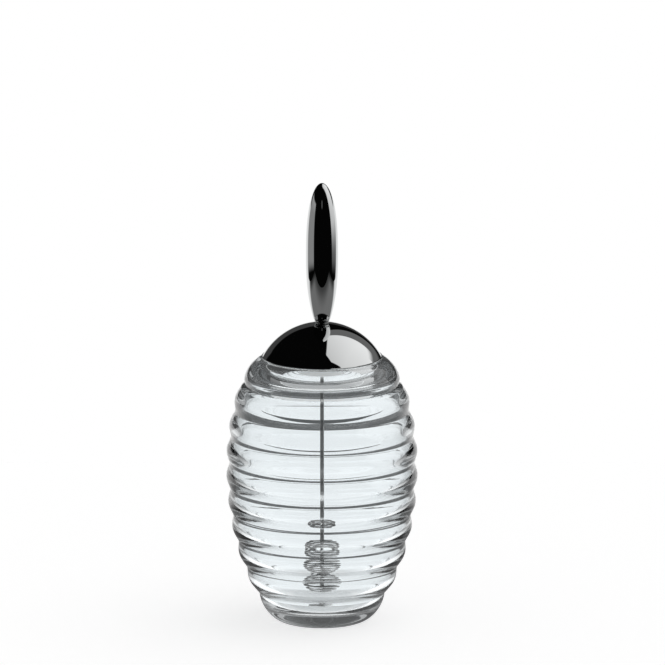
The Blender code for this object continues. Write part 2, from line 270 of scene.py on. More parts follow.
def squared_arc(start, end, power, segments):
    """Points of a quarter of a squared ellipse that leaves its start upright and reaches its end level."""
    points = []
    for step in range(1, segments + 1):
        angle = math.pi / 2 * step / segments
        across = max(math.cos(angle), 0.0) ** (2 / power)
        points.append((end[0] + (start[0] - end[0]) * across,
                       start[1] + (end[1] - start[1]) * math.sin(angle) ** (2 / power)))
    return points


def crest_radius(height):
    """Radius of the smooth belly that touches the crest of every rib: half an ellipse each way."""
    drop, edge = crest_drop_at_base, base_band_height
    if height > belly_height:
        drop, edge = crest_drop_at_shoulder, top_groove_height
    edge_share = 1 - drop / belly_radius
    reach = (edge - belly_height) / math.sqrt(1 - edge_share ** 2)
    return belly_radius * math.sqrt(1 - ((height - belly_height) / reach) ** 2)


def up_the_wall(height, below, above):
    """A size that changes smoothly from its value low in the jar to its value high in the jar."""
    share = (height - change_height + change_reach) / (2 * change_reach)
    share = min(max(share, 0.0), 1.0)
    return below + (above - below) * share * share * (3 - 2 * share)


def inner_crest_radius(height):
    """The wall grows thicker again just under the shoulder."""
    share = min(max((height - thicker_from) / (wave_top - thicker_from), 0.0), 1.0)
    thicker = shoulder_extra_wall * share * share * (3 - 2 * share)
    return crest_radius(height) - up_the_wall(height, wall_below, wall_above) - thicker


def inner_radius(height):
    """Radius of the inside with its wave."""
    turn = (height - base_band_height - inner_wave_rise) / rib_pitch
    fall = (1 - inner_wave_sharpness) * (0.5 + 0.5 * math.cos(2 * math.pi * turn))
    fall += inner_wave_sharpness * (2 * (turn % 1) - 1) ** 2
    return inner_crest_radius(height) - up_the_wall(height, inner_wave_below, inner_wave_above) * fall


def jar_outline():
    """From the floor's middle up the inside, over the lip and down the ribs to the foot's middle."""
    rows = (groove_count - 1) * points_per_rib
    row_height = rib_pitch / points_per_rib
    corner_top = floor_height + floor_corner
    inner = inner_radius(corner_top)
    points = [((inner - floor_corner) * step / floor_points, floor_height) for step in range(floor_points)]
    points += arc((inner - floor_corner, corner_top), floor_corner, floor_corner, -90, 0,
                  floor_corner_steps)
    points = [(*point, 0.0, 0.0) for point in points]
    wave_foot = base_band_height + inner_wave_rise
    for row in range(rows + 1):
        height = wave_foot + row_height * row
        if corner_top + row_height / 2 < height < wave_top - row_height / 2:
            points.append((inner_crest_radius(height), height, 0.0,
                           up_the_wall(height, inner_wave_below, inner_wave_above)))
    mouth_foot = jar_height - mouth_depth
    inside = [(inner_radius(wave_top), wave_top)]
    inside += squared_arc(inside[0], (mouth_radius + mouth_corner, mouth_foot), shoulder_power_inside,
                          shoulder_steps_inside)
    inside += arc((mouth_radius + mouth_corner, mouth_foot + mouth_corner), mouth_corner, mouth_corner,
                  -90, -180, mouth_corner_steps)[1:]
    inside += arc((mouth_radius + rim_round, jar_height - rim_round), rim_round, rim_round, 180, 90,
                  rim_steps)
    inside.append((flat_top_radius, jar_height))
    inside += squared_arc((shoulder_radius, jar_height - shoulder_drop), (flat_top_radius, jar_height),
                          shoulder_power_outside, shoulder_steps_outside)[-2::-1]
    inside.append((shoulder_radius, jar_height - shoulder_drop))
    notch_step = notch_step_share * top_groove_depth
    inside.append((shoulder_radius - notch_step, top_groove_height + notch_step_rise))
    inside.append((shoulder_radius - top_groove_depth, top_groove_height))
    points += [(*point, 0.0, 0.0) for point in inside]
    for row in range(rows - 1, -1, -1):
        height = base_band_height + row_height * row
        points.append((crest_radius(height), height, groove_depth, 0.0))
    heel_start = (crest_radius(base_band_height) - groove_depth, base_band_height)
    foot = squared_arc(heel_start, (foot_radius, 0.0), heel_power, heel_steps)
    for step in range(punt_steps + 1):
        share = step / punt_steps
        foot.append((punt_radius * (1 - share), punt_depth * share * share * (3 - 2 * share)))
    points += [(*point, 0.0, 0.0) for point in foot]
    return points


def new_material(name):
    """A node material with its tree and its Principled shader."""
    made = bpy.data.materials.new(name)
    made.use_nodes = True
    return made, made.node_tree, made.node_tree.nodes["Principled BSDF"]


def place_coords(tree, scale=(1, 1, 1)):
    """The piece's own coordinates in metres, stretched for a pattern."""
    node = tree.nodes.new("ShaderNodeTexCoord")
    mapping = tree.nodes.new("ShaderNodeMapping")
    mapping.inputs["Scale"].default_value = scale
    tree.links.new(node.outputs["Object"], mapping.inputs["Vector"])
    return mapping.outputs["Vector"]


def noise(tree, vector, scale, detail=2.0, roughness=0.5):
    node = tree.nodes.new("ShaderNodeTexNoise")
    tree.links.new(vector, node.inputs["Vector"])
    node.inputs["Scale"].default_value = scale
    node.inputs["Detail"].default_value = detail
    node.inputs["Roughness"].default_value = roughness
    return node.outputs["Fac"]


def map_range(tree, value, low, high, to_low, to_high, smooth=False):
    node = tree.nodes.new("ShaderNodeMapRange")
    if smooth:
        node.interpolation_type = "SMOOTHSTEP"
    feed(tree, node.inputs["Value"], value)
    for name, number in (("From Min", low), ("From Max", high), ("To Min", to_low), ("To Max", to_high)):
        feed(tree, node.inputs[name], number)
    return node.outputs["Result"]


def blown_glass():
    """Clear glass with the faint waves that blowing leaves and a trace of grey-green in it."""
    made, tree, shader = new_material("blown_glass")
    shader.inputs["Transmission Weight"].default_value = 1.0
    shader.inputs["IOR"].default_value = glass_ior
    waves = noise(tree, place_coords(tree, (1, 1, 0.5)), 45.0, 2.0)
    tint = tree.nodes.new("ShaderNodeMix")
    tint.data_type = "RGBA"
    tree.links.new(waves, tint.inputs["Factor"])
    tint.inputs["A"].default_value = (0.945, 0.978, 0.992, 1)
    tint.inputs["B"].default_value = (0.960, 0.988, 1.000, 1)
    tree.links.new(tint.outputs["Result"], shader.inputs["Base Color"])
    tree.links.new(map_range(tree, waves, 0.35, 0.65, 0.0, 0.006), shader.inputs["Roughness"])
    bump = tree.nodes.new("ShaderNodeBump")
    bump.inputs["Strength"].default_value = 0.25
    bump.inputs["Distance"].default_value = 0.0002
    tree.links.new(waves, bump.inputs["Height"])
    tree.links.new(bump.outputs["Normal"], shader.inputs["Normal"])
    return made


glass = blown_glass()
jar = turned_piece("ribbed_jar", jar_outline(), glass, jar_sides, 40, {
    "First Groove": base_band_height, "Rib Pitch": rib_pitch, "Groove Sharpness": groove_sharpness,
    "Wave Rise": inner_wave_rise, "Wave Sharpness": inner_wave_sharpness})
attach(jar, "jar")
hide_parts("glass_jar")


# Lid dome
# A cap pressed from stainless sheet and mirror polished, with its rim rolled under.
dome_wall = 0.0010
lid_radius = 0.0270
rim_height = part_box("lid_dome")[0].z
dome_rise = 0.0158
dome_radius = (lid_radius ** 2 + dome_rise ** 2) / (2 * dome_rise)
dome_centre = rim_height + dome_rise - dome_radius
crown_bore = 0.0023
rim_upright = 0.0006
rim_step_in = 0.0003
seat_gap = 0.0003
dome_steps = 60
dome_inner_steps = 40


def dome_height(radius, depth):
    return dome_centre + math.sqrt((dome_radius - depth) ** 2 - radius ** 2)


def mirror_steel(name, colour, smear):
    """Polished stainless steel with fine polishing marks and a thumb's smear in places."""
    made, tree, shader = new_material(name)
    shader.inputs["Metallic"].default_value = 1.0
    marks = noise(tree, place_coords(tree, (1, 1, 6)), 900.0, 3.0)
    smears = noise(tree, place_coords(tree), 60.0, 3.0)
    mix = tree.nodes.new("ShaderNodeMix")
    mix.data_type = "RGBA"
    tree.links.new(smears, mix.inputs["Factor"])
    mix.inputs["A"].default_value = (*[part * 0.96 for part in colour], 1)
    mix.inputs["B"].default_value = (*colour, 1)
    tree.links.new(mix.outputs["Result"], shader.inputs["Base Color"])
    tree.links.new(map_range(tree, smears, 0.4, 0.75, 0.012, smear), shader.inputs["Roughness"])
    bump = tree.nodes.new("ShaderNodeBump")
    bump.inputs["Strength"].default_value = 0.02
    bump.inputs["Distance"].default_value = 0.00002
    tree.links.new(marks, bump.inputs["Height"])
    tree.links.new(bump.outputs["Normal"], shader.inputs["Normal"])
    return made


steel = mirror_steel("mirror_steel_finish", (0.66, 0.67, 0.67), 0.03)


def dome_outline():
    outline = []
    for step in range(dome_steps):
        radius = crown_bore + (lid_radius - crown_bore) * step / dome_steps
        outline.append((radius, dome_height(radius, 0)))
    edge = dome_wall / 2
    inner_rim = lid_radius - dome_wall
    outline.append((lid_radius, rim_height + rim_upright))
    outline += arc((lid_radius - edge, rim_height + edge), edge, edge, 0, -180, 10)
    inner_start = inner_rim - rim_step_in
    for step in range(dome_inner_steps + 1):
        radius = inner_start + (crown_bore - inner_start) * step / dome_inner_steps
        outline.append((radius, dome_height(radius, dome_wall)))
    return outline + [outline[0]]


dome = turned_piece("polished_dome", dome_outline(), steel, 160)
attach(dome, "lid")
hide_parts("lid_dome")


# Locating ring
# A ring of milky plastic, pressed into the dome from below by its flange. Its skirt drops into the mouth
# of the jar and centres the lid.
ring_clearance = 0.00085
ring_outer = mouth_radius - ring_clearance
ring_wall = 0.0008
ring_flange = 0.00175
ring_foot = 0.11388
ring_painted_glow = 0.42


def white_seal():
    """Milky white plastic, slightly matt, with faint flow marks. Its colour also glows as painted light, so
    that it looks lit through the glass.
    """
    made, tree, shader = new_material("milky_plastic")
    flow = noise(tree, place_coords(tree, (1, 1, 3)), 140.0, 3.0)
    mix = tree.nodes.new("ShaderNodeMix")
    mix.data_type = "RGBA"
    tree.links.new(flow, mix.inputs["Factor"])
    mix.inputs["A"].default_value = (0.84, 0.85, 0.85, 1)
    mix.inputs["B"].default_value = (0.90, 0.90, 0.90, 1)
    tree.links.new(mix.outputs["Result"], shader.inputs["Base Color"])
    # Painted light: the ring's own colour glows, though the ring is no lamp.
    tree.links.new(mix.outputs["Result"], shader.inputs["Emission Color"])
    shader.inputs["Emission Strength"].default_value = ring_painted_glow
    tree.links.new(map_range(tree, flow, 0.3, 0.7, 0.30, 0.42), shader.inputs["Roughness"])
    return made


seal = white_seal()


def ring_outline():
    under = dome_wall + seat_gap
    inner = ring_outer - ring_wall
    edge = ring_wall / 2
    outline = arc((ring_outer - edge, ring_foot + edge), edge, edge, -180, 0, 10)
    outline.append((ring_outer, dome_height(ring_outer, under + ring_wall)))
    for depth in (under + ring_wall, under):
        outline.append((ring_outer + ring_flange, dome_height(ring_outer + ring_flange, depth)))
    outline.append((inner, dome_height(inner, under)))
    return outline + [outline[0]]


ring = turned_piece("lid_ring", ring_outline(), seal, 128)
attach(ring, "lid")
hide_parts("locating_ring")


# Neck collar
# A short turned barrel between the dome's crown and the handle's foot. Its steel is painted darker than
# both, as painted shade. It hides the stud.
collar_low, collar_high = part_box("neck_collar")
collar_radius = 0.0033
collar_round = 0.0003
# Painted shade: the same polished steel as the dome's and the handle's, in a darker colour.
painted_shade_steel = mirror_steel("polished_steel_painted_shade", (0.40, 0.41, 0.41), 0.05)


def collar_outline():
    edge = collar_radius - collar_round
    outline = [(crown_bore, collar_high.z)]
    outline += arc((edge, collar_high.z - collar_round), collar_round, collar_round, 90, 0, 8)
    outline += arc((edge, collar_low.z + collar_round), collar_round, collar_round, 0, -90, 8)
    return outline + [(crown_bore, collar_low.z), outline[0]]


collar = turned_piece("turned_collar", collar_outline(), painted_shade_steel, 96)
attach(collar, "lid")
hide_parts("neck_collar")


# Handle
# A solid spindle turned from bar and mirror polished. It comes to a blunt point and screws onto the stud.
handle_low, handle_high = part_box("handle")
handle_radius = 0.0072
handle_foot_radius = 0.00385
handle_waist_length = 0.0290
handle_foot_round = 0.0003
handle_power = 2.5
handle_bore_depth = 0.0123
point_steps = 72
taper_steps = 48


def handle_outline():
    """Down from the point, past the widest ring, along the taper to the foot and up into the bore."""
    foot, top = handle_low.z, handle_high.z
    belly = foot + handle_waist_length
    taper = handle_waist_length - handle_foot_round
    points = []
    for step in range(point_steps + 1):
        rise = math.sin(math.pi / 2 * (1 - step / point_steps))
        radius = handle_radius * math.sqrt(max(0.0, 1 - rise ** handle_power))
        points.append((radius, belly + (top - belly) * rise))
    for step in range(1, taper_steps + 1):
        fall = step / taper_steps
        swell = (handle_radius - handle_foot_radius) * (1 - fall ** handle_power)
        points.append((handle_foot_radius + swell, belly - taper * fall))
    edge = handle_foot_radius - handle_foot_round
    points += arc((edge, foot + handle_foot_round), handle_foot_round, handle_foot_round, 0, -90, 8)[1:]
    bore_top = foot + handle_bore_depth
    return points + [(crown_bore, foot), (crown_bore, bore_top), (0, bore_top)]


handle = turned_piece("spindle_handle", handle_outline(), steel, 128)
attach(handle, "lid")
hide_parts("handle")


# Clamp stud
# A threaded steel stud that ties the handle to the dome. Its lower end is bored for the dipper's rod.
stud_low, stud_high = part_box("clamp_stud")
stud_radius = 0.0020
stud_chamfer = 0.0004
stud_bore_radius = 0.0012
stud_bore_depth = 0.0063
thread_pitch = 0.0007
thread_depth = 0.00022


def plain_steel_finish():
    """Turned stainless steel, left unpolished, with the tool's fine rings and a little unevenness."""
    made, tree, shader = new_material("turned_steel")
    shader.inputs["Metallic"].default_value = 1.0
    rings = noise(tree, place_coords(tree, (1, 1, 12)), 1500.0, 2.0)
    cloud = noise(tree, place_coords(tree), 300.0, 3.0)
    mix = tree.nodes.new("ShaderNodeMix")
    mix.data_type = "RGBA"
    tree.links.new(cloud, mix.inputs["Factor"])
    mix.inputs["A"].default_value = (0.50, 0.50, 0.49, 1)
    mix.inputs["B"].default_value = (0.60, 0.60, 0.59, 1)
    tree.links.new(mix.outputs["Result"], shader.inputs["Base Color"])
    tree.links.new(map_range(tree, cloud, 0.3, 0.7, 0.22, 0.36), shader.inputs["Roughness"])
    bump = tree.nodes.new("ShaderNodeBump")
    bump.inputs["Strength"].default_value = 0.15
    bump.inputs["Distance"].default_value = 0.00003
    tree.links.new(rings, bump.inputs["Height"])
    tree.links.new(bump.outputs["Normal"], shader.inputs["Normal"])
    return made


plain_steel = plain_steel_finish()


def stud_outline():
    foot, top = stud_low.z, stud_high.z
    outline = [(0, top), (stud_radius - stud_chamfer, top), (stud_radius, top - stud_chamfer)]
    turns = int((top - foot - 2 * stud_chamfer) / thread_pitch)
    for turn in range(turns):
        height = top - stud_chamfer - thread_pitch * turn
        outline.append((stud_radius - thread_depth, height - thread_pitch / 2))
        outline.append((stud_radius, height - thread_pitch))
    outline += [(stud_radius - stud_chamfer, foot), (stud_bore_radius, foot)]
    bore_top = foot + stud_bore_depth
    return outline + [(stud_bore_radius, bore_top), (0, bore_top)]


stud = turned_piece("threaded_stud", stud_outline(), plain_steel, 64, 30)
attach(stud, "lid")
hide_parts("clamp_stud")


# Clamp washer
# A flat steel washer, stamped with slightly rounded edges, that spreads the nut's pull under the crown.
washer_low, washer_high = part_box("clamp_washer")
washer_radius = 0.0045
washer_round = 0.0001


def washer_outline():
    edge = washer_radius - washer_round
    outline = [(crown_bore, washer_high.z)]
    outline += arc((edge, washer_high.z - washer_round), washer_round, washer_round, 90, 0, 5)
    outline += arc((edge, washer_low.z + washer_round), washer_round, washer_round, 0, -90, 5)
    return outline + [(crown_bore, washer_low.z), outline[0]]


washer = turned_piece("stamped_washer", washer_outline(), plain_steel, 64)
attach(washer, "lid")
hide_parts("clamp_washer")


# Clamp nut
# A hexagonal steel nut with the corners of both faces turned off at 30 degrees.
nut_low, nut_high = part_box("clamp_nut")
nut_across_flats = 0.0070
nut_steps = 96
nut_face_share = 0.96
nut_corner_slope = math.tan(math.radians(30))


def nut_mesh():
    """Rings of points from the bore's foot out over the lower face, up the flats and in again."""
    bm = bmesh.new()
    face_edge = nut_across_flats / 2 * nut_face_share
    rings = [[] for _ in range(6)]
    for step in range(nut_steps):
        angle = 2 * math.pi * step / nut_steps
        from_flat = (angle + math.pi / 6) % (math.pi / 3) - math.pi / 6
        reach = nut_across_flats / 2 / math.cos(from_flat)
        cut = (reach - face_edge) * nut_corner_slope
        section = [(crown_bore, nut_low.z), (face_edge, nut_low.z), (reach, nut_low.z + cut),
                   (reach, nut_high.z - cut), (face_edge, nut_high.z), (crown_bore, nut_high.z)]
        for ring, (radius, height) in zip(rings, section):
            ring.append(bm.verts.new((radius * math.cos(angle), radius * math.sin(angle), height)))
    for first, second in zip(rings, rings[1:] + rings[:1]):
        for step in range(nut_steps):
            after = (step + 1) % nut_steps
            bm.faces.new((first[step], first[after], second[after], second[step]))
    bmesh.ops.recalc_face_normals(bm, faces=bm.faces)
    mesh = bpy.data.meshes.new("hexagon_nut")
    bm.to_mesh(mesh)
    bm.free()
    mesh.shade_smooth()
    mesh.set_sharp_from_angle(angle=math.radians(20))
    mesh.materials.append(plain_steel)
    return mesh


nut = bpy.data.objects.new("hexagon_nut", nut_mesh())
bpy.context.scene.collection.objects.link(nut)
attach(nut, "lid")
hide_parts("clamp_nut")


# Dipper rod
# A straight polished steel rod, brazed into the stud above and into the tip below.
rod_low, rod_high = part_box("dipper_rod")
rod_radius = 0.0009
rod_chamfer = 0.0002
wire_steel = mirror_steel("bright_drawn_steel", (0.58, 0.575, 0.57), 0.03)
outline = [(0, rod_high.z), (rod_radius - rod_chamfer, rod_high.z), (rod_radius, rod_high.z - rod_chamfer),
           (rod_radius, rod_low.z), (0, rod_low.z)]
rod = turned_piece("dipper_shaft", outline, wire_steel, 48)
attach(rod, "lid")
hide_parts("dipper_rod")


# Rod tip
# A small turned cap with a round nose that closes the rod's end under the coil.
tip_low, tip_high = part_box("rod_tip")
tip_radius = 0.0016
tip_bore_depth = 0.0010
tip_edge = 0.0001
tip_length = tip_high.z - tip_low.z
bore = rod_radius + seat_gap
outline = [(0, tip_high.z - tip_bore_depth), (bore, tip_high.z - tip_bore_depth), (bore, tip_high.z),
           (tip_radius - tip_edge, tip_high.z), (tip_radius, tip_high.z - tip_edge)]
outline += arc((0, tip_low.z + tip_length / 2), tip_radius, tip_length / 2, 0, -90, 16)
tip = turned_piece("turned_tip", outline, wire_steel, 64)
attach(tip, "lid")
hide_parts("rod_tip")


# Dipper coil
# One steel wire of the rod's own diameter, wound into an open ball. Both ends turn in and are brazed
# to the rod.
coil_low, coil_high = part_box("dipper_coil")
coil_radius = 0.00775
coil_end_share = 0.5
coil_turns = 8
coil_lead_degrees = 80
coil_points_per_turn = 64
coil_sides = 20
bend_steps = 14
coil_foot = coil_low.z + rod_radius
coil_top = coil_high.z - rod_radius


def bend(start, start_way, end, end_way, pull, segments):
    """Points of a cubic bend between two straight runs, without its first point."""
    before = start + start_way * pull
    after = end - end_way * pull
    points = []
    for step in range(1, segments + 1):
        t = step / segments
        points.append(start * (1 - t) ** 3 + before * 3 * t * (1 - t) ** 2 + after * 3 * t ** 2 * (1 - t)
                      + end * t ** 3)
    return points


def coil_route():
    """The wire's middle line: out from the rod, round the turns of the ball and in to the rod again."""
    total = coil_turns * coil_points_per_turn
    flattening = math.sqrt(1 - coil_end_share ** 2)
    turns = []
    for step in range(total + 1):
        share = step / total
        angle = 2 * math.pi * step / coil_points_per_turn
        radius = coil_radius * math.sqrt(1 - (flattening * (2 * share - 1)) ** 2)
        turns.append(np.array((radius * math.cos(angle), radius * math.sin(angle),
                               coil_top - (coil_top - coil_foot) * share)))
    run = 2 * rod_radius
    face = rod_radius + seat_gap
    lead_in = math.radians(coil_lead_degrees)
    pull = coil_radius * coil_end_share / 2
    along = np.array((0, 1, 0))
    height = np.array((0, 0, 1))
    first_out = np.array((math.cos(lead_in), -math.sin(lead_in), 0))
    top_start = first_out * face + height * coil_top
    top_turned = first_out * (face + run) + height * coil_top
    head = [top_start, (top_start + top_turned) / 2, top_turned]
    head += bend(top_turned, first_out, turns[0], along, pull, bend_steps)[:-1]
    last_out = np.array((math.cos(lead_in), math.sin(lead_in), 0))
    foot_turned = last_out * (face + run) + height * coil_foot
    foot_end = last_out * face + height * coil_foot
    ending = bend(turns[-1], along, foot_turned, -last_out, pull, bend_steps)
    return head + turns + ending + [(foot_turned + foot_end) / 2, foot_end]


def wire_tree():
    """Sweeps a round wire of even thickness along a string of points and closes both ends."""
    tree = bpy.data.node_groups.new("wire_sweep", "GeometryNodeTree")
    add_socket(tree, "Route", "Geometry")
    add_socket(tree, "Wire Radius", "Float")
    add_socket(tree, "Sides", "Int")
    add_socket(tree, "Finish", "Material")
    add_socket(tree, "Wire", "Geometry", "OUTPUT")
    given = tree.nodes.new("NodeGroupInput").outputs
    line = tree.nodes.new("GeometryNodeMeshToCurve")
    tree.links.new(given["Route"], line.inputs["Mesh"])
    section = tree.nodes.new("GeometryNodeCurvePrimitiveCircle")
    tree.links.new(given["Wire Radius"], section.inputs["Radius"])
    tree.links.new(given["Sides"], section.inputs["Resolution"])
    sweep = tree.nodes.new("GeometryNodeCurveToMesh")
    tree.links.new(line.outputs["Curve"], sweep.inputs["Curve"])
    tree.links.new(section.outputs["Curve"], sweep.inputs["Profile Curve"])
    sweep.inputs["Fill Caps"].default_value = True
    real = tree.nodes.new("GeometryNodeRealizeInstances")
    tree.links.new(sweep.outputs["Mesh"], real.inputs[0])
    finish = tree.nodes.new("GeometryNodeSetMaterial")
    tree.links.new(real.outputs[0], finish.inputs["Geometry"])
    tree.links.new(given["Finish"], finish.inputs["Material"])
    tree.links.new(finish.outputs[0], tree.nodes.new("NodeGroupOutput").inputs[0])
    return tree


route = coil_route()
mesh = bpy.data.meshes.new("wound_dipper")
mesh.from_pydata([tuple(point) for point in route], [(i, i + 1) for i in range(len(route) - 1)], [])
coil = bpy.data.objects.new("wound_dipper", mesh)
bpy.context.scene.collection.objects.link(coil)
sweep = coil.modifiers.new("wire", "NODES")
sweep.node_group = wire_tree()
for name, value in (("Wire Radius", rod_radius), ("Sides", coil_sides), ("Finish", wire_steel)):
    set_input(sweep, sweep.node_group, name, value)
coil = plain_mesh(coil, "wound_dipper", 50)
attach(coil, "lid")
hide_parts("dipper_coil")


# Floor
# A plain pale table top. It ends a short way behind and in front, which the glass and the steel show.
# The light that is mirrored more than once is dimmed by a set amount, which real light doesn't do.
table_half_width = 0.50
table_front = -0.37
table_back = 0.304
room_light = 0.34
key_light = 0.09
key_spread_degrees = 60
table_colour = 0.80
# Level of the table as the steel shows it, a painted shade.
table_painted_mirror_level = 0.21
floor_mesh = bpy.data.meshes.new("table_top")
corners = [(-table_half_width, table_front, 0), (table_half_width, table_front, 0),
           (table_half_width, table_back, 0), (-table_half_width, table_back, 0)]
floor_mesh.from_pydata(corners, [], [(0, 1, 2, 3)])
floor = bpy.data.objects.new("table_top", floor_mesh)
bpy.context.scene.collection.objects.link(floor)


def reflected_ray(tree):
    """Light Path sockets, and a mask for rays that were last reflected and not let through."""
    path = tree.nodes.new("ShaderNodeLightPath").outputs
    through = path["Is Transmission Ray"]
    return path, through, calc(tree, "MULTIPLY", path["Is Glossy Ray"], calc(tree, "SUBTRACT", 1.0, through))


def table_finish():
    """White paper that glows as much as the room's light is short of white: only the shadow shows. Seen in
    the steel and the glass it has painted light and shade: a pool of light near and behind the pot, a level
    that darkens towards the front and the sides, and a painted shadow round the foot.
    """
    made, tree, _ = new_material("white_paper")
    tree.nodes.clear()
    path, through, reflected = reflected_ray(tree)
    diffuse = tree.nodes.new("ShaderNodeBsdfDiffuse")
    grain = noise(tree, place_coords(tree), 800.0, 2.0)
    place = tree.nodes.new("ShaderNodeSeparateXYZ")
    tree.links.new(place_coords(tree), place.inputs[0])
    from_pot = tree.nodes.new("ShaderNodeVectorMath")
    from_pot.operation = "LENGTH"
    tree.links.new(place_coords(tree), from_pot.inputs[0])
    # Painted light: seen in the steel, the table is brighter behind the pot and in a pool round it.
    behind = map_range(tree, place.outputs["Y"], 0.05, 0.25, 0.0, 1.0, True)
    painted_pool_near_pot = map_range(tree, from_pot.outputs["Value"], 0.05, 0.16, 1.4, 0.22, True)
    painted_light_pool = calc(tree, "MAXIMUM", painted_pool_near_pot, behind)
    once_mirrored = calc(tree, "MINIMUM", path["Glossy Depth"], 1.0)
    once_mirrored = calc(tree, "MULTIPLY_ADD", once_mirrored, calc(tree, "SUBTRACT", painted_light_pool, 1.0), 1.0)
    more_mirrored = map_range(tree, path["Glossy Depth"], 1.0, 3.0, 1.0, 0.25)
    once_mirrored = calc(tree, "MULTIPLY", once_mirrored, more_mirrored)
    shade = map_range(tree, grain, 0.3, 0.7, table_colour - 0.005, table_colour + 0.005)
    tree.links.new(calc(tree, "MULTIPLY", shade, once_mirrored), diffuse.inputs["Color"])
    glow = tree.nodes.new("ShaderNodeEmission")
    tree.links.new(calc(tree, "MULTIPLY", once_mirrored, 1 - table_colour * room_light - key_light),
                   glow.inputs["Strength"])
    direct = tree.nodes.new("ShaderNodeAddShader")
    tree.links.new(diffuse.outputs[0], direct.inputs[0])
    tree.links.new(glow.outputs[0], direct.inputs[1])
    # Painted shade: seen in the steel, the table is a low level that darkens towards the front and the
    # sides.
    mirrored = tree.nodes.new("ShaderNodeEmission")
    to_side = calc(tree, "ABSOLUTE", place.outputs["X"])
    fade = calc(tree, "MULTIPLY", map_range(tree, to_side, 0.36, 0.5, 1.0, 0.15, True),
                map_range(tree, place.outputs["Y"], -0.37, -0.16, 0.3, 1.0, True))
    painted_mirror_level = calc(tree, "MULTIPLY", fade, table_painted_mirror_level)
    tree.links.new(calc(tree, "MAXIMUM", painted_mirror_level, behind), mirrored.inputs["Strength"])
    choice = tree.nodes.new("ShaderNodeMixShader")
    tree.links.new(reflected, choice.inputs[0])
    tree.links.new(direct.outputs[0], choice.inputs[1])
    tree.links.new(mirrored.outputs[0], choice.inputs[2])
    # Painted shadow: seen through the glass, the table is darker round the jar's foot, set by distance.
    seen_through = tree.nodes.new("ShaderNodeEmission")
    painted_shadow_near_foot = map_range(tree, from_pot.outputs["Value"], 0.012, 0.035, 0.7, 1.0, True)
    tree.links.new(calc(tree, "MULTIPLY", painted_shadow_near_foot, once_mirrored), seen_through.inputs["Strength"])
    last_choice = tree.nodes.new("ShaderNodeMixShader")
    tree.links.new(through, last_choice.inputs[0])
    tree.links.new(choice.outputs[0], last_choice.inputs[1])
    tree.links.new(seen_through.outputs[0], last_choice.inputs[2])
    tree.links.new(last_choice.outputs[0], tree.nodes.new("ShaderNodeOutputMaterial").inputs["Surface"])
    return made


floor_mesh.materials.append(table_finish())


# Backdrop board
# A low white board that stands round the back and sides of the table and lights the glass from behind.
board_radius = 0.304
board_foot = 0.0
board_top = 0.044
board_steps = 96
bm = bmesh.new()
for step in range(board_steps):
    quad = []
    low_edge = [(step, board_foot), (step + 1, board_foot)]
    for turn, height in (*low_edge, (step + 1, board_top), (step, board_top)):
        angle = math.radians(-45 + 270 * turn / board_steps)
        quad.append(bm.verts.new((board_radius * math.cos(angle), board_radius * math.sin(angle), height)))
    bm.faces.new(quad)
board_mesh = bpy.data.meshes.new("white_board")
bm.to_mesh(board_mesh)
bm.free()
board = bpy.data.objects.new("white_board", board_mesh)
bpy.context.scene.collection.objects.link(board)
board.visible_camera = False
board.visible_diffuse = False
board.visible_glossy = False
board.visible_shadow = False


def board_finish():
    """White card that glows most straight behind the pot and less at its sides."""
    made, tree, _ = new_material("white_card")
    tree.nodes.clear()
    path = tree.nodes.new("ShaderNodeLightPath").outputs
    place = tree.nodes.new("ShaderNodeSeparateXYZ")
    tree.links.new(place_coords(tree), place.inputs[0])
    level = map_range(tree, place.outputs["Y"], -0.1, 0.35, 0.6, 1.0, True)
    once_mirrored = map_range(tree, path["Glossy Depth"], 0.0, 1.0, 1.0, 0.5)
    glow = tree.nodes.new("ShaderNodeEmission")
    tree.links.new(calc(tree, "MULTIPLY", level, once_mirrored), glow.inputs["Strength"])
    tree.links.new(glow.outputs[0], tree.nodes.new("ShaderNodeOutputMaterial").inputs["Surface"])
    return made


board_mesh.materials.append(board_finish())


# Studio light
# A dark room, with a large soft box overhead on the right and a dim panel low on the left. The lit
# backdrop shows only in steel and glass. All of it is in the world's light, by direction.
world = bpy.data.worlds.new("studio")
bpy.context.scene.world = world
world.use_nodes = True
air = world.node_tree
air.nodes.clear()
ways = air.nodes.new("ShaderNodeSeparateXYZ")
air.links.new(air.nodes.new("ShaderNodeTexCoord").outputs["Generated"], ways.inputs[0])
east, north, up = ways.outputs


def in_degrees(tree, value):
    return calc(tree, "MULTIPLY", value, 180 / math.pi)


def times(tree, *values):
    product = values[0]
    for value in values[1:]:
        product = calc(tree, "MULTIPLY", product, value)
    return product


def brightest(tree, *values):
    best = values[0]
    for value in values[1:]:
        best = calc(tree, "MAXIMUM", best, value)
    return best


def within(tree, value, low, high, soft):
    """1 between two limits, with soft edges, and 0 outside them."""
    return times(tree, map_range(tree, value, low - soft, low + soft, 0.0, 1.0, True),
                 map_range(tree, value, high - soft, high + soft, 1.0, 0.0, True))


def lower_than(tree, value, limit, soft=1.5):
    return map_range(tree, calc(tree, "SUBTRACT", value, limit), -soft, soft, 1.0, 0.0, True)


def side_of(tree, to_east, to_north, to_up, soft=0.012):
    """1 on one side of a plane through the object, with a soft edge, and 0 on the other."""
    level = calc(tree, "ADD", calc(tree, "MULTIPLY", east, to_east), calc(tree, "MULTIPLY", north, to_north))
    total = calc(tree, "ADD", level, calc(tree, "MULTIPLY", up, to_up))
    return map_range(tree, total, -soft, soft, 0.0, 1.0, True)


elevation = in_degrees(air, calc(air, "ARCSINE", up))
azimuth = in_degrees(air, calc(air, "ARCTAN2", east, calc(air, "MULTIPLY", north, -1.0)))
away = calc(air, "ABSOLUTE", azimuth)

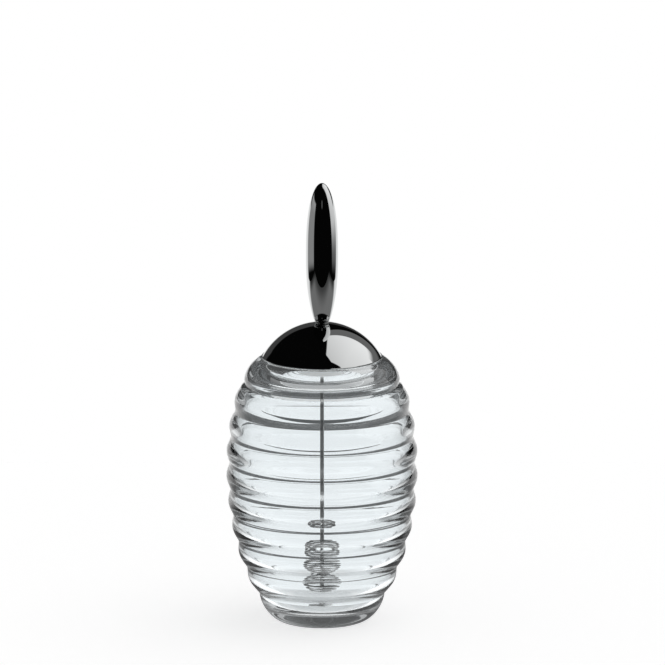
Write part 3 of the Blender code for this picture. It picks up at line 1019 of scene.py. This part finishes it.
box_fade = calc(air, "ADD", map_range(air, elevation, -16.0, -2.0, 0.0, 0.74, True),
                map_range(air, elevation, -2.0, 22.0, 0.0, 0.26))
box_level = times(air, map_range(air, north, -0.5, 0.6, 0.88, 1.15),
                  map_range(air, east, 0.1, 0.6, 0.84, 1.02), box_fade)
box_left = side_of(air, 1, 0, -0.11)
box_corner = side_of(air, 1.44, 1, 0.127)
box_shape = times(air, box_left, box_corner, side_of(air, 0.33, 1, 0.438), side_of(air, 0.85, -1, 0.42))
box_side = within(air, azimuth, 61.0, 121.0, 2.0)
overhead = within(air, elevation, 22.0, 91.0, 6.0)
box_part = brightest(air, times(air, box_shape, overhead), times(air, box_side, box_shape))
soft_box = times(air, box_level, box_part)
box_frame = times(air, side_of(air, 1.9, -1, 0.7), box_left, side_of(air, 0.3, 1, 0.1),
                  within(air, elevation, 8.0, 91.0, 4.0), 0.17)
left_panel = times(air, within(air, azimuth, -121.0, -61.0, 2.0), within(air, elevation, -13.5, 11.5, 1.5),
                   map_range(air, elevation, 2.0, 9.0, 0.31, 0.42))
left_wall = times(air, within(air, azimuth, -181.0, -140.0, 2.0),
                  lower_than(air, elevation, map_range(air, azimuth, -168.0, -143.0, 28.0, 17.0)))
right_wall = times(air, within(air, azimuth, 161.0, 181.0, 2.0),
                   lower_than(air, elevation, map_range(air, azimuth, 160.0, 172.0, 3.0, 16.0)))
back_wall = calc(air, "MULTIPLY", brightest(air, left_wall, right_wall), 0.058)
front_lamp = times(air, within(air, azimuth, -3.0, 3.5, 1.5), within(air, elevation, 11.0, 20.0, 2.0), 0.16)
glossy_light = brightest(air, soft_box, box_frame, left_panel, back_wall, front_lamp, 0.002)

backdrop = times(air, within(air, away, 120.0, 181.0, 6.0), within(air, elevation, -91.0, -1.0, 0.6))
glossy_light = calc(air, "MAXIMUM", glossy_light, backdrop)
high_light = times(air, within(air, away, 110.0, 181.0, 6.0), within(air, elevation, 56.0, 91.0, 2.0))
through_light = brightest(air, soft_box, high_light, left_panel, 0.12)
path, through, reflected = reflected_ray(air)
plain = calc(air, "SUBTRACT", 1.0, calc(air, "MAXIMUM", reflected, through))
other = times(air, plain, calc(air, "MULTIPLY_ADD", path["Is Camera Ray"], 1.0 - room_light, room_light))
inner_mirror = map_range(air, path["Glossy Depth"], 0.0, 2.0, 1.0, 0.6)
seen_in_glass = times(air, through, through_light, inner_mirror)
light = calc(air, "ADD", times(air, reflected, glossy_light), seen_in_glass)
background = air.nodes.new("ShaderNodeBackground")
air.links.new(calc(air, "ADD", light, other), background.inputs["Strength"])
background.inputs["Color"].default_value = (1, 1, 1, 1)
air.links.new(background.outputs[0], air.nodes.new("ShaderNodeOutputWorld").inputs["Surface"])

key_data = bpy.data.lights.new("soft_key", "SUN")
key_data.angle = math.radians(key_spread_degrees)
key_way = Vector((0.45, 0.10, 1.0)).normalized()
key_data.energy = math.pi * key_light / table_colour / key_way.z
key = bpy.data.objects.new("soft_key", key_data)
key.rotation_mode = "QUATERNION"
key.rotation_quaternion = key_way.to_track_quat("Z", "Y")
key.visible_glossy = False
key.visible_transmission = False
bpy.context.scene.collection.objects.link(key)


# Camera
# Far enough away to see the pot almost without perspective, a little above the table and level across.
camera_elevation = math.radians(12.5)
metres_per_pixel = 0.000447
frame_pixels = 665
sensor_width = 36
camera_distance = 4.0
axis_column = 322.0
foot_row = 620.2
camera_data = bpy.data.cameras.new("camera")
camera_data.sensor_width = sensor_width
camera_data.lens = sensor_width * camera_distance / (frame_pixels * metres_per_pixel)
camera_data.clip_end = 20
camera = bpy.data.objects.new("camera", camera_data)
bpy.context.scene.collection.objects.link(camera)
back = Vector((0, -math.cos(camera_elevation), math.sin(camera_elevation)))
middle = Vector(((frame_pixels / 2 - axis_column) * metres_per_pixel, 0,
                 (foot_row - frame_pixels / 2) * metres_per_pixel / math.cos(camera_elevation)))
camera.location = middle + back * camera_distance
camera.rotation_mode = "QUATERNION"
camera.rotation_quaternion = back.to_track_quat("Z", "Y")
bpy.context.scene.camera = camera
bpy.context.scene.view_settings.view_transform = "Standard"
paths = bpy.context.scene.cycles
paths.max_bounces = 32
paths.glossy_bounces = 16
paths.transmission_bounces = 32
